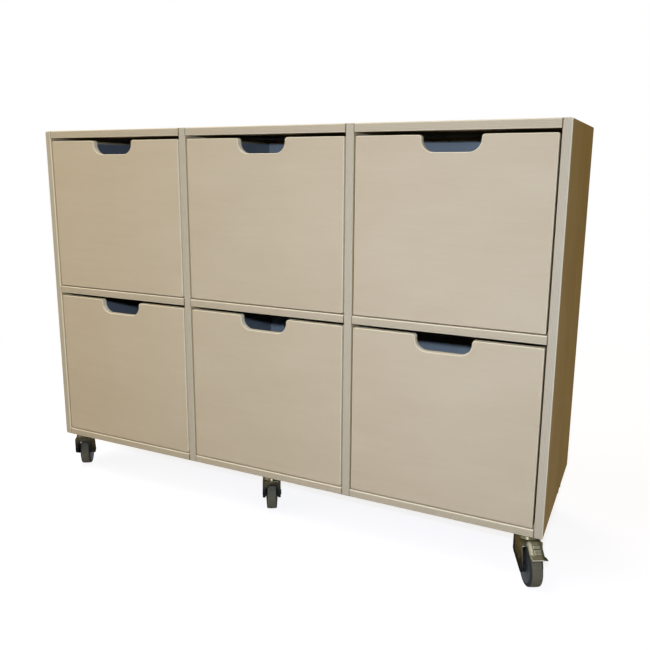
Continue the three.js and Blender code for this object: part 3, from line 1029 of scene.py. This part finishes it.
def tyre_shape():
    edge = TREAD_HALF - TREAD_SHOULDER
    fall = WHEEL_RADIUS - TREAD_CROWN - TREAD_SHOULDER
    turns = quarter_turn(ARC_STEPS)
    shoulder = [(fall + TREAD_SHOULDER * math.sin(a), edge + TREAD_SHOULDER * math.cos(a)) for a in turns]
    seam = RIM_RADIUS + RIM_SEAM
    half = [(RIM_RADIUS, flank_at(RIM_RADIUS) - RIM_SEAM), (seam, flank_at(seam)), *shoulder]
    return revolve([*half, (WHEEL_RADIUS, 0), *[(r, -x) for r, x in reversed(half)]], X)


def wheel_body_shape():
    """Hub and flanks of the wheel, out to the groove where the tyre begins."""
    seam = RIM_RADIUS - RIM_SEAM
    half = [
        (BORE_RADIUS, HUB_HALF),
        (HUB_RADIUS, HUB_HALF),
        (HUB_RADIUS, FLANK_HALF - HUB_RIM),
        (HUB_RADIUS + HUB_RIM, FLANK_HALF - HUB_RIM),
        (HUB_RADIUS + 2 * HUB_RIM, flank_at(HUB_RADIUS + 2 * HUB_RIM)),
        (seam, flank_at(seam)),
        (RIM_RADIUS, flank_at(RIM_RADIUS) - RIM_SEAM),
    ]
    return revolve(rounded([*half, *[(r, -x) for r, x in reversed(half)]], WHEEL_ROUND), X)


def pedal_path():
    """Points (ahead, up) along the top of the pedal, each with the direction that is square to it there."""
    start = Vector((PEDAL_PIN_AHEAD, pedal_top))
    flat_end = start + Vector((PEDAL_FLAT, 0))
    hump = flat_end + Vector((PEDAL_HUMP_AHEAD, PEDAL_HUMP_RISE))
    lip_start = flat_end + Vector((PEDAL_SPAN, -PEDAL_DROP))
    before_lip = lip_start + (hump - lip_start).normalized() * PEDAL_LIP_BEND
    after_lip = lip_start + Vector((PEDAL_LIP_BEND, 0))
    tip = lip_start + Vector((PEDAL_LIP, 0))
    points = [start, (start + flat_end) / 2]
    points += curve_points(flat_end, hump, before_lip, PEDAL_ROWS)
    points += curve_points(before_lip, lip_start, after_lip, BEND_STEPS)[1:]
    points += [after_lip + (tip - after_lip) * step / BEND_STEPS for step in range(1, BEND_STEPS + 1)]
    path = []
    for index, point in enumerate(points):
        run = points[min(index + 1, len(points) - 1)] - points[max(index - 1, 0)]
        path.append((point, Vector((-run.y, run.x)).normalized()))
    return path


def step_up(value, start, width):
    """0 up to the start, 1 past the width, and a smooth rise between them."""
    t = min(max((value - start) / width, 0), 1)
    return t * t * (3 - 2 * t)


def pedal_section(ahead):
    """Upper and under line of the pressed plate across X, as (station, height) points, at that reach."""
    on_hump = step_up(ahead, 0, PEDAL_FLAT)
    on_lip = step_up(ahead, PEDAL_FLAT + PEDAL_SPAN - PEDAL_LIP_BEND, 2 * PEDAL_LIP_BEND)
    half = PEDAL_HALF_AT_PIN + (PEDAL_HALF - PEDAL_HALF_AT_PIN) * on_hump
    half += (PEDAL_LIP_HALF - PEDAL_HALF) * on_lip
    flange = PEDAL_FLANGE + (PEDAL_LIP_FLANGE - PEDAL_FLANGE) * on_lip
    bend = PEDAL_BEND + (PEDAL_SHEET - PEDAL_BEND) * on_lip
    flat = half - bend
    in_field = sum(
        step_up(ahead, start, FIELD_EDGE) * step_up(-ahead, -end, FIELD_EDGE)
        for start, end in (FIELD_BAR, FIELD_PANEL)
    )
    stations = [flat * (2 * step / PEDAL_COLUMNS - 1) for step in range(PEDAL_COLUMNS + 1)]
    rises = [FIELD_RISE * in_field * step_up(-abs(x), -FIELD_HALF, FIELD_EDGE) for x in stations]
    turns = quarter_turn(BEND_STEPS)[1:]
    side = [(flat + bend * math.sin(a), bend * (math.cos(a) - 1)) for a in turns]
    side.append((half, -flange))
    under = bend - PEDAL_SHEET
    under_side = [(flat + under * math.sin(a), under * math.cos(a) - bend) for a in turns]
    under_side.append((flat + under, -flange))
    lines = []
    for edge, drop in ((side, 0.0), (under_side, PEDAL_SHEET)):
        middle = [(x, rise - drop) for x, rise in zip(stations, rises)]
        lines.append([(-x, height) for x, height in reversed(edge)] + middle + edge)
    return lines


def pedal_plate():
    """Pressed plate with turned-down sides, a raised bar and a raised panel on its hump, and a foot lip."""
    outer, inner = [], []
    for point, up in pedal_path():
        upper, under = pedal_section(point.x - PEDAL_PIN_AHEAD)
        for grid, line in ((outer, upper), (inner, under)):
            grid.append([(x, -(point.x + up.x * height), point.y + up.y * height) for x, height in line])
    shape = sheet_between(outer, inner)
    bmesh.ops.remove_doubles(shape, verts=shape.verts, dist=WELD)
    return shape


def barrel_shape():
    """The barrel at the root of the pedal, which turns on the pin."""
    half = PEDAL_BARREL_HALF
    ring = [
        (PEDAL_BARREL_BORE, -half),
        (PEDAL_BARREL_RADIUS, -half),
        (PEDAL_BARREL_RADIUS, half),
        (PEDAL_BARREL_BORE, half),
    ]
    return moved(revolve(rounded(ring, PEDAL_BARREL_ROUND), X), PEDAL_PIN_AHEAD, pedal_pin_height)


def pedal_shape():
    """The pressed plate, and the brake shoe over the tyre."""
    near = PEDAL_PIN_AHEAD + SHOE_AHEAD
    tyre_top = WHEEL_RADIUS + math.sqrt(WHEEL_RADIUS ** 2 - (near - TRAIL) ** 2)
    low = Vector((-SHOE_HALF, -near - SHOE_LENGTH, tyre_top + SHOE_GAP))
    high = Vector((SHOE_HALF, -near, pedal_top + SHOE_RISE - PEDAL_SHEET / 2))
    shoe = block(low, high, [(X, Z, -1), (Y, Z, -1)], SHOE_ROUND)
    return merged(pedal_plate(), shoe)


def pin_shape():
    """The pedal's pin through both legs of the fork, with a rivet head at each end."""
    head = FORK_HALF + PEDAL_PIN_HEAD
    parts = [disc(PEDAL_PIN_RADIUS, -FORK_HALF, FORK_HALF, PIN_ROUND)]
    for side in (-1, 1):
        parts.append(disc(PEDAL_PIN_HEAD_RADIUS, side * FORK_HALF, side * head, PEDAL_PIN_HEAD_ROUND))
    return moved(merged(*parts), PEDAL_PIN_AHEAD, pedal_pin_height)


def soften(piece):
    """Takes the sharpness off the cut rims of a pressed sheet."""
    bevel = piece.modifiers.new("softened_rims", "BEVEL")
    bevel.width = SHEET_RIM_ROUND
    bevel.segments = CHAMFER_STEPS
    bevel.limit_method = "ANGLE"
    bevel.angle_limit = SHEET_RIM_ANGLE
    piece.modifiers.move(piece.modifiers.find("softened_rims"), 0)


def add_castor(end, column):
    name = f"castor_{end}_{column}"
    swivel = f"{name}_swivel"
    roller = f"{name}_roller"
    stem = Vector(joints[f"{name}_swivel_joint"]["pos_m"])
    axle = joints[f"{name}_axle"]
    turn = math.atan2(axle["axis"][Y], axle["axis"][X])
    facing = Matrix.Rotation(turn, 4, "Z")
    place = Matrix.Translation((stem.x, stem.y, 0)) @ facing
    hub = Matrix.Translation(axle["pos_m"]) @ facing

    def add(part, shape, material, body, where, replaced=None):
        piece_name = f"{name}_{part}"
        return add_piece(piece_name, to_mesh(shape, piece_name), material, body, where, replaced)

    fork = add("fork_sheet", fork_shape(), fork_zinc, swivel, place, f"{name}_fork")
    soften(fork)
    add("head", head_shape(), fork_zinc, swivel, place)
    add("race", race_shape(), race_zinc, swivel, place)
    add("kingpin", kingpin_shape(), fork_zinc, swivel, place)
    add("axle_bolt", axle_shape(), fork_zinc, swivel, place)
    add("tyre", tyre_shape(), rubber, roller, hub, f"{name}_wheel")
    add("wheel_body", wheel_body_shape(), plastic, roller, hub)
    if f"{name}_pedal" in frame["nodes"]:
        brake = f"{name}_brake"
        pedal = add("pedal_plate", pedal_shape(), pedal_zinc, brake, place, f"{name}_pedal")
        soften(pedal)
        add("pedal_barrel", barrel_shape(), pedal_zinc, brake, place)
        add("pedal_pin", pin_shape(), fork_zinc, swivel, place)


add_carcass()
for row in ROWS:
    for column in COLUMNS:
        add_tray(row, column)
for end in ("front", "rear"):
    for column in COLUMNS:
        add_castor(end, column)


# Floor, light and camera
def add_floor():
    half = FLOOR_SIZE / 2
    corners = [(-half, -half, 0), (half, -half, 0), (half, half, 0), (-half, half, 0)]
    mesh = bpy.data.meshes.new("floor")
    mesh.from_pydata(corners, [], [(0, 1, 2, 3)])
    floor = bpy.data.objects.new("floor", mesh)
    bpy.context.scene.collection.objects.link(floor)
    paint = Paint("floor")
    seen = paint.seen_directly()
    away = paint.spread(paint.distance(X, Y), FLOOR_FADE)
    lift = paint.spread(away, UNIT, (FLOOR_LIFT, 1.0))
    paint.finish(
        base_color=paint.mix(seen, FLOOR_BOUNCE, paint.mix(away, FLOOR_SEEN, BLACK)),
        roughness=1.0,
        specular_ior_level=0.0,
        emission_color=WHITE,
        emission_strength=paint.math("MULTIPLY", seen, lift),
    )
    mesh.materials.append(paint.material)


def add_lamp(name, place, aim, size, power, colour):
    light = bpy.data.lights.new(name, "AREA")
    light.shape = "DISK"
    light.size = size
    light.energy = power
    light.color = colour
    holder = bpy.data.objects.new(name, light)
    holder.location = place
    holder.rotation_euler = (aim - place).to_track_quat("-Z", "Y").to_euler()
    bpy.context.scene.collection.objects.link(holder)


def add_world():
    world = bpy.data.worlds.new("studio")
    world.use_nodes = True
    sky = Nodes(world.node_tree)
    shade = sky.mix(sky.seen_directly(), AMBIENT, WHITE)
    sky.feed(sky.tree.nodes["Background"].inputs["Color"], shade)
    bpy.context.scene.world = world


def add_camera():
    data = bpy.data.cameras.new("camera")
    data.sensor_width = CAMERA_SENSOR
    data.lens = CAMERA_LENS
    data.shift_x, data.shift_y = CAMERA_SHIFT
    camera = bpy.data.objects.new("camera", data)
    camera.location = CAMERA_PLACE
    camera.rotation_euler = (CAMERA_TILT, 0, CAMERA_TURN)
    bpy.context.scene.collection.objects.link(camera)
    bpy.context.scene.camera = camera


add_floor()
add_world()
for name, lamp in LAMPS.items():
    add_lamp(name, **lamp)
add_camera()

bpy.context.scene.view_settings.view_transform = "Standard"
